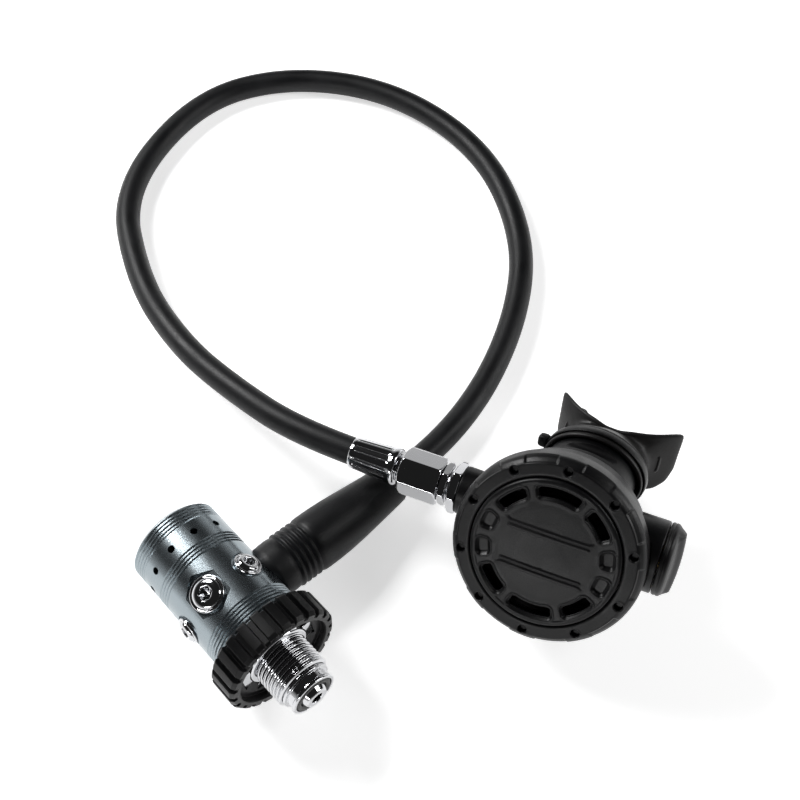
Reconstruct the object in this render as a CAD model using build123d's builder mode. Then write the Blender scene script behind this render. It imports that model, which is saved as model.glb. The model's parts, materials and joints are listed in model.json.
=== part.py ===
"""Scuba regulator set: a DIN piston first stage, a low-pressure hose and a downstream second stage."""
from build123d import *
from math import cos, pi, radians, sin, tan
import os

# ---------------------------------------------------------------- placement of the three groups
# The set lies on a table, z = 0. Lengths are in millimetres.
FIRST_AT = Vector(-57.3, -38.2, 24.2)      # centre of the handwheel's back plane
FIRST_HEADING = -47.5                       # degrees, direction of the DIN nose seen from above
FIRST_TILT = 5.0                            # degrees, nose up: the set lies on handwheel and end cap
SECOND_AT = Vector(47.8, -14.8, 51.5)       # centre of the cover ring's front plane
SECOND_OUT = Vector(-0.3571, -0.6402, 0.6802)   # the way the purge cover faces
SECOND_ACROSS = Vector(0.9110, -0.3994, 0.1024)  # from hose inlet to adjustment knob

# ---------------------------------------------------------------- first stage
BODY_R = 19.3
BODY_BACK, BODY_FRONT = -50.0, -0.4
CAP_BACK = -58.5
CAP_SKIRT_R = 16.5
PISTON_BORE_R = 15.0
SPRING_CHAMBER_R = 13.5
CHAMBER_FLOOR = -34.0
STEM_R = 4.0
HEAD_BACK, HEAD_FRONT = -51.5, -48.5
PISTON_TRAVEL = 1.0
LP_CHAMBER_R = 9.0
LP_CHAMBER_BACK, LP_CHAMBER_FRONT = -26.0, -13.4
CROWN_LIP = 1.0
ORIFICE_R = 1.6
INLET_R, INLET_BACK = 8.0, -9.0
RUNNING = 0.06                              # radial clearance of a shaft in a hole
AMBIENT_HOLES, AMBIENT_AT, AMBIENT_R = 11, -44.5, 1.5
PORT_AT = -20.6                             # every port sits on one ring of the body
PORT_STEP = 60.0
HOSE_PORT_ANGLE = -9.0
LP_PORT_R, LP_HEAD_R, LP_SEAT, LP_POCKET_R = 4.7, 5.6, 18.3, 6.4
HP_PORT_R, HP_HEAD_R, HP_SEAT, HP_POCKET = 5.5, 7.2, 17.7, 17.0
PORT_FLOOR = 12.0

WHEEL_R, WHEEL_BACK, WHEEL_FRONT = 24.4, 0.0, 13.0
WHEEL_LUGS = 24
WHEEL_HUB_R = 13.6
THREAD_R = 22.911 / 2                       # G 5/8, the DIN 300 bar cylinder thread
THREAD_BACK, THREAD_FRONT = 11.5, 24.5
COUPLING_BORE_R = 8.4
NOSE_R, NOSE_RIM_R, NOSE_FRONT = 9.1, 9.5, 30.5
NOSE_BORE_R, NOSE_TIP = 2.4, 32.4

# ---------------------------------------------------------------- hose
HOSE_R = 5.8
HOSE_IN_FIRST = 32.0                        # hose end, from the first stage's axis
HOSE_IN_SECOND = -77.0                      # hose end, along the valve axis
PROTECTOR_END = 86.0
HOSE_ROUTE = [(-78.7, 73.8, 21.5), (-103.7, 98.8, 17), (-127.7, 136.8, 11.5), (-144.7, 196.8, 6.6),
              (-112.7, 258.8, 5.8), (-64.7, 276.8, 5.8), (-8.7, 265.8, 5.8), (37.3, 224.8, 5.8),
              (55.3, 167.8, 5.8), (48.3, 117.8, 5.8), (25.3, 68.8, 5.8)]

# ---------------------------------------------------------------- second stage
# local axes: x across (towards the knob), y up towards the mouthpiece side, z outwards through the cover
RING_R, RING_BACK = 36.8, -11.0
RING_OPENING_R = 28.9
DIMPLES, DIMPLE_CIRCLE_R, DIMPLE_R = 10, 33.7, 1.9
CASE_R, CASE_WALL, CASE_BACK = 33.6, 2.4, -33.0
VALVE_Y, VALVE_Z = 4.1, -22.5               # the valve axis runs across the case
BARREL_R, BARREL_BORE_R = 7.0, 5.2
BARREL_ENDS = (-41.0, 34.0)
PURGE_R = 28.6
SLOT_CIRCLE_R, SLOT_WIDTH = 23.6, 3.4
LONG_SLOT, SIDE_SLOT, SHORT_SLOT = 34.7, 22.7, 8.7   # degrees between the centres of a slot's round ends
MEMBRANE_R = 31.0
LEVER_ARM = 20.0
KNOB_R = 14.2
KNOB_COLLAR_END = 39.2
MOUTH_RISE, MOUTH_SWING = 15.0, 6.0         # degrees, outlet tube up from straight back, and sideways
MOUTH_X, MOUTH_Y, MOUTH_Z = 1.3, 16.5, -22.0
TEE_Y, TEE_Z, TEE_R, TEE_LIMIT_R = -20.5, -33.5, 10.0, 33.4

os.makedirs("parts", exist_ok=True)


def unit(vector):
    return vector.normalized()


heading, tilt = radians(FIRST_HEADING), radians(FIRST_TILT)
first_axis = Vector(cos(heading) * cos(tilt), sin(heading) * cos(tilt), sin(tilt))
first_side = unit(Vector(0, 0, 1).cross(first_axis))
first_up = first_axis.cross(first_side)
FIRST = Plane(origin=FIRST_AT, x_dir=first_side, z_dir=first_axis)
FIRST_SECTION = Plane(origin=FIRST_AT, x_dir=first_up, z_dir=first_up.cross(first_axis))
FIRST_LINE = Axis(FIRST_AT, first_axis)

SECOND = Plane(origin=SECOND_AT, x_dir=SECOND_ACROSS, z_dir=SECOND_OUT)
across, up, out = SECOND.x_dir, SECOND.y_dir, SECOND.z_dir
VALVE_AT = SECOND.from_local_coords(Vector(0, VALVE_Y, VALVE_Z))
VALVE_SECTION = Plane(origin=VALVE_AT, x_dir=out, z_dir=out.cross(across))
VALVE_LINE = Axis(VALVE_AT, across)
SECOND_SECTION = Plane(origin=SECOND_AT, x_dir=across, z_dir=across.cross(out))
SECOND_LINE = Axis(SECOND_AT, out)

rise, swing = radians(MOUTH_RISE), radians(MOUTH_SWING)
back = up * sin(rise) - out * cos(rise)
MOUTH = Plane(origin=SECOND.from_local_coords(Vector(MOUTH_X, MOUTH_Y, MOUTH_Z)),
              x_dir=back * sin(swing) - across * cos(swing),
              z_dir=back * cos(swing) + across * sin(swing))


def port_plane(angle):
    """Plane on the first stage's axis at the port ring, its z pointing out through that port."""
    turn = radians(angle)
    direction = first_side * cos(turn) + first_up * sin(turn)
    return Plane(origin=FIRST_AT + first_axis * PORT_AT, x_dir=first_axis, z_dir=direction)


def section_of(plane):
    """Plane for a profile of (radius, height) points that turns about the given plane's z axis."""
    return Plane(origin=plane.origin, x_dir=plane.x_dir, z_dir=plane.x_dir.cross(plane.z_dir))


def turned(section, line, points):
    """Solid of revolution of a closed outline of (radius, height) points."""
    with BuildPart() as piece:
        with BuildSketch(section):
            with BuildLine():
                Polyline(*points, close=True)
            make_face()
        revolve(axis=line)
    return piece.part


def first_turned(*points):
    return turned(FIRST_SECTION, FIRST_LINE, points)


def valve_turned(*points):
    return turned(VALVE_SECTION, VALVE_LINE, points)


def case_turned(*points):
    return turned(SECOND_SECTION, SECOND_LINE, points)


def port_turned(angle, *points):
    plane = port_plane(angle)
    return turned(section_of(plane), Axis(plane.origin, plane.z_dir), points)


def sleeve(outer, inner, low, high):
    """Outline of a plain ring or tube."""
    return [(inner, low), (outer, low), (outer, high), (inner, high)]


def rod(radius, low, high):
    return sleeve(radius, 0, low, high)


def ridges(radius, low, count, pitch=1.5, depth=0.55):
    """Outline points of a row of fine turned ridges."""
    points = []
    for step in range(count):
        start = low + step * pitch
        points += [(radius, start), (radius - depth, start + pitch * 0.3),
                   (radius - depth, start + pitch * 0.45), (radius, start + pitch * 0.75)]
    return points


def prism(plane, sides, across_flats, low, high):
    """Straight prism, such as a hexagon, between two heights over a plane."""
    with BuildPart() as piece:
        with BuildSketch(plane.offset(low)):
            RegularPolygon(radius=across_flats / 2, side_count=sides, major_radius=False)
        extrude(amount=high - low)
    return piece.part


def save(piece, name):
    piece.part.label = name
    export_step(piece.part, f"parts/{name}.step")


def coil_spring(plane, radius, wire, low, high, turns):
    """Open coil spring, its wire centre running between the two heights."""
    start = plane.offset(low)
    with BuildPart() as piece:
        with BuildLine() as path:
            Helix(pitch=(high - low) / turns, height=high - low, radius=radius,
                  center=start.origin, direction=start.z_dir)
        with BuildSketch(Plane(origin=path.line @ 0, z_dir=path.line % 0)):
            Circle(wire / 2)
        sweep(path=path.line, is_frenet=True)
    return piece.part


# ================================================================ first stage
PORT_ANGLES = [HOSE_PORT_ANGLE + PORT_STEP * step for step in range(6)]
HP_ANGLES = [PORT_ANGLES[2], PORT_ANGLES[5]]
LP_ANGLES = [PORT_ANGLES[1], PORT_ANGLES[3], PORT_ANGLES[4]]

with BuildPart() as first_stage_body:
    add(first_turned(
        (CAP_SKIRT_R + 0.05, BODY_BACK), (BODY_R - 0.3, BODY_BACK), (BODY_R, BODY_BACK + 0.3),
        *ridges(BODY_R, -39.4, 4), *ridges(BODY_R, -9.0, 5), (BODY_R, BODY_FRONT - 1.0),
        (BODY_R - 1.0, BODY_FRONT), (INLET_R, BODY_FRONT), (INLET_R, INLET_BACK),
        (ORIFICE_R, INLET_BACK), (ORIFICE_R, LP_CHAMBER_FRONT - CROWN_LIP),
        (ORIFICE_R + 0.8, LP_CHAMBER_FRONT - CROWN_LIP), (ORIFICE_R + 1.6, LP_CHAMBER_FRONT),
        (LP_CHAMBER_R, LP_CHAMBER_FRONT), (LP_CHAMBER_R, LP_CHAMBER_BACK),
        (STEM_R + RUNNING, LP_CHAMBER_BACK), (STEM_R + RUNNING, -29.0), (6.0, -29.0),
        (6.0, -31.2), (STEM_R + RUNNING, -31.2), (STEM_R + RUNNING, CHAMBER_FLOOR),
        (SPRING_CHAMBER_R, CHAMBER_FLOOR), (SPRING_CHAMBER_R, -46.6), (CAP_SKIRT_R + 0.05, -46.6)))
    for angle in PORT_ANGLES:
        is_hp = angle in HP_ANGLES
        hole_r, seat = (HP_PORT_R, HP_SEAT) if is_hp else (LP_PORT_R, LP_SEAT)
        floor = PORT_FLOOR if is_hp else LP_CHAMBER_R - 1.5
        add(port_turned(angle, *rod(hole_r, floor, BODY_R + 2)), mode=Mode.SUBTRACT)
        if is_hp:
            add(prism(port_plane(angle), 6, HP_POCKET, seat, BODY_R + 2), mode=Mode.SUBTRACT)
        else:
            add(port_turned(angle, *rod(LP_POCKET_R, seat, BODY_R + 2)), mode=Mode.SUBTRACT)
    for step in range(AMBIENT_HOLES):
        turn = radians(140 + step * 360 / AMBIENT_HOLES)
        direction = first_side * cos(turn) + first_up * sin(turn)
        hole = Plane(origin=FIRST_AT + first_axis * AMBIENT_AT, x_dir=first_axis, z_dir=direction)
        with BuildSketch(hole.offset(SPRING_CHAMBER_R - 2)):
            Circle(AMBIENT_R)
        extrude(amount=BODY_R, mode=Mode.SUBTRACT)
save(first_stage_body, "first_stage_body")

with BuildPart() as end_cap:
    add(first_turned(
        (0, CAP_BACK + 0.8), (12, CAP_BACK + 0.8), (12.6, CAP_BACK), (BODY_R - 2.2, CAP_BACK),
        (BODY_R - 0.4, CAP_BACK + 1.6), (BODY_R, CAP_BACK + 2.0), *ridges(BODY_R, CAP_BACK + 2.2, 4),
        (BODY_R, BODY_BACK - 0.3), (BODY_R - 0.3, BODY_BACK), (CAP_SKIRT_R, BODY_BACK),
        (CAP_SKIRT_R, -46.8), (PISTON_BORE_R, -46.8), (PISTON_BORE_R, CAP_BACK + 4.5),
        (0, CAP_BACK + 4.5)))
    with BuildSketch(FIRST.offset(CAP_BACK + 0.8)):
        with PolarLocations(9, 2):
            Circle(1.6)
    extrude(amount=2, mode=Mode.SUBTRACT)
save(end_cap, "end_cap")

STEM_TIP = LP_CHAMBER_FRONT - CROWN_LIP - PISTON_TRAVEL - 0.05
with BuildPart() as piston:
    add(first_turned(
        (1.5, HEAD_BACK), (PISTON_BORE_R - RUNNING, HEAD_BACK), (PISTON_BORE_R - RUNNING, -50.8),
        (13.0, -50.8), (13.0, -49.2), (PISTON_BORE_R - RUNNING, -49.2),
        (PISTON_BORE_R - RUNNING, HEAD_FRONT), (STEM_R, HEAD_FRONT), (STEM_R, STEM_TIP),
        (3.0, STEM_TIP), (3.0, STEM_TIP - 2), (0, STEM_TIP - 2), (0, STEM_TIP - 5),
        (1.5, STEM_TIP - 5)))
    for turn in (0, 90):
        cross = Plane(origin=FIRST_AT + first_axis * (STEM_TIP - 6), x_dir=first_axis,
                      z_dir=first_side.rotate(FIRST_LINE, turn))
        with BuildSketch(cross.offset(-STEM_R - 1)):
            Circle(1.1)
        extrude(amount=2 * STEM_R + 2, mode=Mode.SUBTRACT)
save(piston, "piston")

with BuildPart() as piston_seat:
    add(first_turned(*rod(3.0, STEM_TIP - 2, STEM_TIP)))
save(piston_seat, "piston_seat")

with BuildPart() as piston_head_oring:
    add(first_turned(*sleeve(PISTON_BORE_R - 0.03, 13.0, -50.75, -49.25)))
save(piston_head_oring, "piston_head_oring")

with BuildPart() as piston_stem_oring:
    add(first_turned(*sleeve(5.98, STEM_R + RUNNING, -31.15, -29.05)))
save(piston_stem_oring, "piston_stem_oring")

SPRING_WIRE = 2.2
with BuildPart() as main_spring:
    add(coil_spring(FIRST, 9.5, SPRING_WIRE, HEAD_FRONT + SPRING_WIRE / 2 + 0.1,
                    CHAMBER_FLOOR - SPRING_WIRE / 2 - 0.1, 4))
save(main_spring, "main_spring")

# ---------------------------------------------------------------- DIN connector
with BuildPart() as din_retainer:
    add(first_turned(
        (4.6, INLET_BACK + 0.6), (INLET_R, INLET_BACK + 0.6), (INLET_R, BODY_FRONT),
        (COUPLING_BORE_R - RUNNING, BODY_FRONT), (COUPLING_BORE_R - RUNNING, THREAD_FRONT + 0.2),
        (NOSE_R, THREAD_FRONT + 0.6), (NOSE_R, NOSE_FRONT - 1.6), (NOSE_RIM_R, NOSE_FRONT - 1.3),
        (NOSE_RIM_R, NOSE_FRONT - 0.3), (NOSE_RIM_R - 0.3, NOSE_FRONT), (8.3, NOSE_FRONT),
        (8.3, NOSE_FRONT - 2.2), (5.6, NOSE_FRONT - 2.2), (5.6, NOSE_FRONT - 0.6),
        (4.6, NOSE_TIP - 0.5), (4.1, NOSE_TIP), (NOSE_BORE_R + 0.4, NOSE_TIP),
        (NOSE_BORE_R, NOSE_TIP - 0.4), (NOSE_BORE_R, 21.6), (4.6, 21.6)))
save(din_retainer, "din_retainer")

with BuildPart() as din_oring:
    with BuildSketch(FIRST_SECTION):
        with Locations((6.95, NOSE_FRONT - 0.95)):
            Circle(1.2)
    revolve(axis=FIRST_LINE)
save(din_oring, "din_oring")

with BuildPart() as din_filter:
    add(first_turned((0, 17.4), (4.55, 17.4), (4.55, 20.6), (2.2, 21.5), (0, 21.5)))
save(din_filter, "din_filter")

with BuildPart() as filter_clip:
    add(first_turned(*sleeve(4.55, 3.4, 16.4, 17.3)))
save(filter_clip, "filter_clip")

HUB_LUG_R, HUB_LUG_WIDTH, HUB_FRONT = 16.6, 10.0, 10.4
with BuildPart() as din_coupling:
    add(first_turned(
        (COUPLING_BORE_R, 0.2), (WHEEL_HUB_R, 0.2), (WHEEL_HUB_R, HUB_FRONT - 0.8),
        (WHEEL_HUB_R - 0.8, HUB_FRONT), (THREAD_R - 1.4, HUB_FRONT), (THREAD_R - 1.4, THREAD_BACK),
        (THREAD_R, THREAD_BACK + 0.6), (THREAD_R, THREAD_FRONT - 1.0),
        (THREAD_R - 1.2, THREAD_FRONT), (COUPLING_BORE_R, THREAD_FRONT)))
    with BuildSketch(FIRST.offset(3.0)):
        for turn in (0, 60, 120):
            Rectangle(2 * HUB_LUG_R, HUB_LUG_WIDTH, rotation=turn)
        Circle(WHEEL_HUB_R - 0.5, mode=Mode.SUBTRACT)
    extrude(amount=HUB_FRONT - 1.2 - 3.0)
save(din_coupling, "din_coupling")

with BuildPart() as din_handwheel:
    add(first_turned(
        (WHEEL_HUB_R, WHEEL_BACK + 0.2), (20.8, WHEEL_BACK + 0.2), (22.4, WHEEL_BACK + 1.2),
        (22.4, WHEEL_FRONT - 1.0), (21.6, WHEEL_FRONT), (20.4, WHEEL_FRONT), (19.6, WHEEL_FRONT - 2.2),
        (WHEEL_HUB_R, WHEEL_FRONT - 5.0)))
    with BuildSketch(FIRST.offset(WHEEL_BACK)):
        with PolarLocations(22.6, WHEEL_LUGS):
            Rectangle(3.6, 3.6)
    extrude(amount=WHEEL_FRONT)
    add(first_turned(
        (WHEEL_R, WHEEL_BACK - 1), (WHEEL_R + 4, WHEEL_BACK - 1), (WHEEL_R + 4, WHEEL_FRONT + 1),
        (WHEEL_R - 2.0, WHEEL_FRONT + 1), (WHEEL_R - 1.2, WHEEL_FRONT), (WHEEL_R, WHEEL_FRONT - 1.4),
        (WHEEL_R, WHEEL_BACK + 1.0), (WHEEL_R - 1.0, WHEEL_BACK - 0.1)), mode=Mode.SUBTRACT)
    add(first_turned((0, WHEEL_FRONT - 3), (20.2, WHEEL_FRONT - 3), (20.2, WHEEL_FRONT + 1),
                     (0, WHEEL_FRONT + 1)), mode=Mode.SUBTRACT)
    with BuildSketch(FIRST.offset(2.9)):
        for turn in (0, 60, 120):
            Rectangle(2 * HUB_LUG_R + 0.1, HUB_LUG_WIDTH + 0.1, rotation=turn)
    extrude(amount=WHEEL_FRONT, mode=Mode.SUBTRACT)
save(din_handwheel, "din_handwheel")


def port_plug(angle, shank_r, head_r, seat, socket):
    """Blanking plug: domed head with a hex socket on a short threaded shank."""
    plane = port_plane(angle)
    with BuildPart() as piece:
        add(port_turned(
            angle, (0, PORT_FLOOR + 0.4), (shank_r - 0.05, PORT_FLOOR + 0.4),
            (shank_r - 0.05, seat - 1.6), (shank_r - 1.0, seat - 1.4), (shank_r - 1.0, seat),
            (head_r, seat), (head_r, seat + 1.3), (head_r - 0.3, seat + 1.7), (head_r - 0.8, seat + 1.7),
            (head_r - 1.2, seat + 1.3), (head_r - 1.9, seat + 2.1), (head_r - 2.9, seat + 2.7),
            (socket / 2 + 0.9, seat + 2.9), (0, seat + 2.9)))
        with BuildSketch(plane.offset(seat - 0.8)):
            RegularPolygon(radius=socket / 2, side_count=6, major_radius=False)
        extrude(amount=6, mode=Mode.SUBTRACT)
    return piece.part


with BuildPart() as high_pressure_plugs:
    for angle in HP_ANGLES:
        add(port_plug(angle, HP_PORT_R, HP_HEAD_R, HP_SEAT, 5.0))
save(high_pressure_plugs, "high_pressure_plugs")

with BuildPart() as low_pressure_plugs:
    for angle in LP_ANGLES:
        add(port_plug(angle, LP_PORT_R, LP_HEAD_R, LP_SEAT, 4.0))
save(low_pressure_plugs, "low_pressure_plugs")

with BuildPart() as port_orings:
    for angle in HP_ANGLES:
        add(port_turned(angle, *sleeve(HP_PORT_R - 0.05, HP_PORT_R - 0.95, HP_SEAT - 1.3, HP_SEAT)))
    for angle in LP_ANGLES + [HOSE_PORT_ANGLE]:
        add(port_turned(angle, *sleeve(LP_PORT_R - 0.05, LP_PORT_R - 0.95, LP_SEAT - 1.3, LP_SEAT)))
save(port_orings, "port_orings")

# ================================================================ hose and its fittings
HOSE_PORT = port_plane(HOSE_PORT_ANGLE)
FITTING_HEX, FITTING_HEX_END, FERRULE_START, FERRULE_END = 14.3, 24.5, 26.0, 46.0
with BuildPart() as hose_fitting:
    add(port_turned(
        HOSE_PORT_ANGLE, (1.8, PORT_FLOOR + 0.4), (LP_PORT_R - 0.05, PORT_FLOOR + 0.4),
        (LP_PORT_R - 0.05, LP_SEAT - 1.6), (LP_PORT_R - 1.0, LP_SEAT - 1.4),
        (LP_PORT_R - 1.0, LP_SEAT), (6.2, LP_SEAT), (6.2, FERRULE_START), (3.0, FERRULE_START),
        (3.0, HOSE_IN_FIRST), (1.8, HOSE_IN_FIRST)))
    add(prism(HOSE_PORT, 6, FITTING_HEX, LP_SEAT + 1.8, FITTING_HEX_END))
    add(port_turned(HOSE_PORT_ANGLE, *rod(1.8, PORT_FLOOR, FITTING_HEX_END + 1)), mode=Mode.SUBTRACT)
save(hose_fitting, "hose_fitting")

with BuildPart() as hose_ferrule_first:
    add(port_turned(
        HOSE_PORT_ANGLE, (3.05, FERRULE_START), (6.6, FERRULE_START), (7.3, FERRULE_START + 1),
        (7.3, FERRULE_END - 1), (6.6, FERRULE_END), (HOSE_R + 0.05, FERRULE_END),
        (HOSE_R + 0.05, HOSE_IN_FIRST), (3.05, HOSE_IN_FIRST)))
save(hose_ferrule_first, "hose_ferrule_first")

with BuildPart() as hose_protector:
    GRIP = [point for step in range(4)
            for point in ((12.0, 27.2 + 2.6 * step), (10.9, 27.6 + 2.6 * step),
                          (10.9, 28.9 + 2.6 * step), (12.0, 29.3 + 2.6 * step))]
    add(port_turned(
        HOSE_PORT_ANGLE, (8.45, 15.5), (11.2, 15.5), (11.6, 26.2), *GRIP, (12.1, 41.0),
        (12.0, 52.0), (11.2, 62.0), (9.2, PROTECTOR_END - 1.2), (8.5, PROTECTOR_END - 0.2),
        (7.6, PROTECTOR_END), (7.0, PROTECTOR_END), (HOSE_R + 0.1, PROTECTOR_END - 24),
        (HOSE_R + 0.1, FERRULE_END + 0.3), (7.4, FERRULE_END + 0.3), (7.4, 25.0), (8.45, 25.0)))
    add(first_turned(*rod(BODY_R + 0.15, BODY_BACK, BODY_FRONT)), mode=Mode.SUBTRACT)
save(hose_protector, "hose_protector")

NUT_START, NUT_END = -66.4, -49.4
FERRULE_MOUTH, FERRULE_NECK = -89.0, -68.6
hose_start = VALVE_AT + across * HOSE_IN_SECOND
hose_end = HOSE_PORT.from_local_coords(Vector(0, 0, HOSE_IN_FIRST))
with BuildPart() as hose:
    first_turn_point = VALVE_AT + across * (HOSE_IN_SECOND - 36)
    last_turn_point = HOSE_PORT.from_local_coords(Vector(0, 0, HOSE_IN_FIRST + 50))
    route = [hose_start, first_turn_point, *[Vector(*p) for p in HOSE_ROUTE], last_turn_point,
             hose_end]
    runs = [route[i + 1] - route[i] for i in range(len(route) - 1)]
    turns = [runs[i].get_angle(runs[i + 1]) for i in range(len(runs) - 1)]
    bend_radii = [0.45 * min(runs[i].length, runs[i + 1].length) / tan(radians(turns[i]) / 2)
                  for i in range(len(turns))]
    print("hose runs", [round(run.length) for run in runs])
    print("hose turns", [round(turn, 1) for turn in turns])
    print("hose radii", [round(radius) for radius in bend_radii])
    with BuildLine() as hose_line:
        FilletPolyline(*route, radius=bend_radii)
    with BuildSketch(Plane(origin=hose_start, z_dir=across * -1)):
        Circle(HOSE_R)
    sweep(path=hose_line.line)
    hose_length = sum(edge.length for edge in hose_line.line.edges())
    print("hose length", round(hose_length, 1), "volume ratio",
          round(hose.part.volume / (pi * HOSE_R**2 * hose_length), 4))
save(hose, "hose")

with BuildPart() as hose_ferrule_second:
    add(valve_turned(
        (3.05, FERRULE_NECK), (6.9, FERRULE_NECK), (7.5, FERRULE_NECK - 0.8),
        (6.45, FERRULE_MOUTH + 0.3), (6.3, FERRULE_MOUTH), (HOSE_R + 0.05, FERRULE_MOUTH),
        (HOSE_R + 0.05, HOSE_IN_SECOND), (3.05, HOSE_IN_SECOND)))
save(hose_ferrule_second, "hose_ferrule_second")

with BuildPart() as swivel_stem:
    add(valve_turned(
        (1.9, HOSE_IN_SECOND), (3.0, HOSE_IN_SECOND), (3.0, FERRULE_NECK), (5.4, FERRULE_NECK),
        (5.4, -65.2), (6.5, -65.2), (6.5, -62.0), (4.6, -62.0), (4.6, -57.4), (3.7, -57.4),
        (3.7, -55.4), (4.6, -55.4), (4.6, -52.6), (4.2, -52.2), (1.9, -52.2)))
save(swivel_stem, "swivel_stem")

with BuildPart() as stem_oring:
    add(valve_turned(*sleeve(4.62, 3.72, -57.3, -55.5)))
save(stem_oring, "stem_oring")

# ================================================================ second stage, inlet side
VALVE = Plane(origin=VALVE_AT, x_dir=out, z_dir=across)


def hex_nut(across_flats, low, high, corner_cut=0.9):
    """Hexagon whose corners are chamfered at both ends."""
    corner_r = across_flats / 2 / cos(pi / 6)
    with BuildPart() as piece:
        add(prism(VALVE, 6, across_flats, low, high))
        add(valve_turned(
            (0, low), (corner_r - corner_cut, low), (corner_r, low + corner_cut * 0.7),
            (corner_r, high - corner_cut * 0.7), (corner_r - corner_cut, high), (0, high)),
            mode=Mode.INTERSECT)
    return piece.part


with BuildPart() as swivel_nut:
    add(hex_nut(17.0, NUT_START, NUT_END, 1.1))
    add(valve_turned((0, NUT_START - 1), (5.46, NUT_START - 1), (5.46, -65.26), (6.56, -65.26),
                     (6.56, -61.5), (7.25, -61.5), (7.25, NUT_END + 1), (0, NUT_END + 1)),
        mode=Mode.SUBTRACT)
save(swivel_nut, "swivel_nut")

with BuildPart() as inlet_fitting:
    add(hex_nut(15.4, -48.9, -46.2, 0.7))
    add(valve_turned(*rod(7.2, -61.0, -48.9)))
    add(valve_turned(*rod(6.6, -46.2, -44.6)))
    add(valve_turned(*rod(5.0, -44.6, -38.0)))
    add(valve_turned((0, -62.0), (4.66, -62.0), (4.66, -51.8), (1.9, -51.8), (1.9, -37.0), (0, -37.0)),
        mode=Mode.SUBTRACT)
save(inlet_fitting, "inlet_fitting")

with BuildPart() as barrel_lock_nut:
    add(hex_nut(18.2, -44.6, -41.2, 0.8))
    add(valve_turned(*rod(5.05, -45, -41)), mode=Mode.SUBTRACT)
save(barrel_lock_nut, "barrel_lock_nut")

# ---------------------------------------------------------------- case
with BuildPart() as second_stage_case:
    with BuildSketch(SECOND_SECTION):
        with BuildLine():
            Polyline((0, CASE_BACK), (CASE_R - 9, CASE_BACK), (CASE_R - 3, CASE_BACK + 2.5),
                     (CASE_R, CASE_BACK + 9), (CASE_R, -5.2), (0, -5.2), close=True)
        make_face()
    revolve(axis=SECOND_LINE)
    add(valve_turned((0, -41.1), (9.2, -41.1), (9.7, -40.6), (9.7, 0), (0, 0)))
    add(valve_turned((0, 0), (KNOB_R, 0), (KNOB_R, KNOB_COLLAR_END - 0.4),
                     (KNOB_R - 0.4, KNOB_COLLAR_END), (0, KNOB_COLLAR_END)))
    with BuildSketch(MOUTH.offset(2)):
        Ellipse(18.6, 13.6)
    extrude(amount=24)
    with BuildSketch(SECOND.offset(CASE_BACK - 2.0)):
        with Locations((0, TEE_Y)):
            Circle(10.2)
    extrude(amount=6)
    add(case_turned(
        (0, CASE_BACK + CASE_WALL), (CASE_R - 10, CASE_BACK + CASE_WALL),
        (CASE_R - 5, CASE_BACK + 4.5), (CASE_R - CASE_WALL, CASE_BACK + 10), (CASE_R - CASE_WALL, -9.0),
        (MEMBRANE_R + 0.1, -9.0), (MEMBRANE_R + 0.1, -4), (0, -4)), mode=Mode.SUBTRACT)
    with BuildSketch(MOUTH.offset(5)):
        Ellipse(15.6, 10.4)
    extrude(amount=24, mode=Mode.SUBTRACT)
    with BuildSketch(Plane(origin=MOUTH.from_local_coords(Vector(0, 13.6 + 0.6, 14.5)),
                           x_dir=MOUTH.z_dir, z_dir=MOUTH.x_dir)):
        Circle(2.9)
    extrude(amount=15, both=True, mode=Mode.SUBTRACT)
    with BuildSketch(SECOND.offset(CASE_BACK - 3.0)):
        with Locations((0, TEE_Y)):
            Circle(7.6)
            with PolarLocations(0.01, 3, start_angle=30):
                Rectangle(18, 1.6, mode=Mode.SUBTRACT)
            Circle(2.6, mode=Mode.SUBTRACT)
    extrude(amount=8, mode=Mode.SUBTRACT)
    with BuildSketch(SECOND.offset(CASE_BACK - 3.0)):
        with Locations((0, TEE_Y)):
            Circle(1.3)
    extrude(amount=8, mode=Mode.SUBTRACT)
    add(valve_turned((0, -42), (BARREL_R + 0.05, -42), (BARREL_R + 0.05, BARREL_ENDS[1] + 0.1),
                     (0, BARREL_ENDS[1] + 0.1)), mode=Mode.SUBTRACT)
    add(case_turned(*sleeve(RING_R + 0.3, CASE_R, RING_BACK - 0.2, 0)), mode=Mode.SUBTRACT)
    add(valve_turned(*rod(4.6, 30, KNOB_COLLAR_END + 1)), mode=Mode.SUBTRACT)
save(second_stage_case, "second_stage_case")

# ---------------------------------------------------------------- valve inside the case
LEVER_X = 14.0
LEVER_Z = 6.3                               # lever pivot above the valve axis, towards the diaphragm
with BuildPart() as valve_barrel:
    add(valve_turned(*sleeve(BARREL_R, BARREL_BORE_R, BARREL_ENDS[0], BARREL_ENDS[1])))
    with BuildSketch(Plane(origin=VALVE_AT + across * LEVER_X, x_dir=across, z_dir=out)):
        Rectangle(7.0, 2 * BARREL_R + 2)
    extrude(amount=BARREL_R + 1, mode=Mode.SUBTRACT)
    with BuildSketch(Plane(origin=VALVE_AT - across * 14, x_dir=across, z_dir=out)):
        with Locations((0, 0), (10, 0)):
            Circle(1.6)
    extrude(amount=BARREL_R + 1, mode=Mode.SUBTRACT)
save(valve_barrel, "valve_barrel")

with BuildPart() as orifice_tube:
    add(valve_turned((1.9, -37.8), (BARREL_BORE_R - 0.02, -37.8), (BARREL_BORE_R - 0.02, -24),
                     (4.2, -23.5), (3.0, -16.0), (2.7, -15.2), (1.9, -15.2)))
save(orifice_tube, "orifice_tube")

with BuildPart() as poppet_seat:
    add(valve_turned(*rod(3.2, -15.1, -13.4)))
save(poppet_seat, "poppet_seat")

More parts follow.
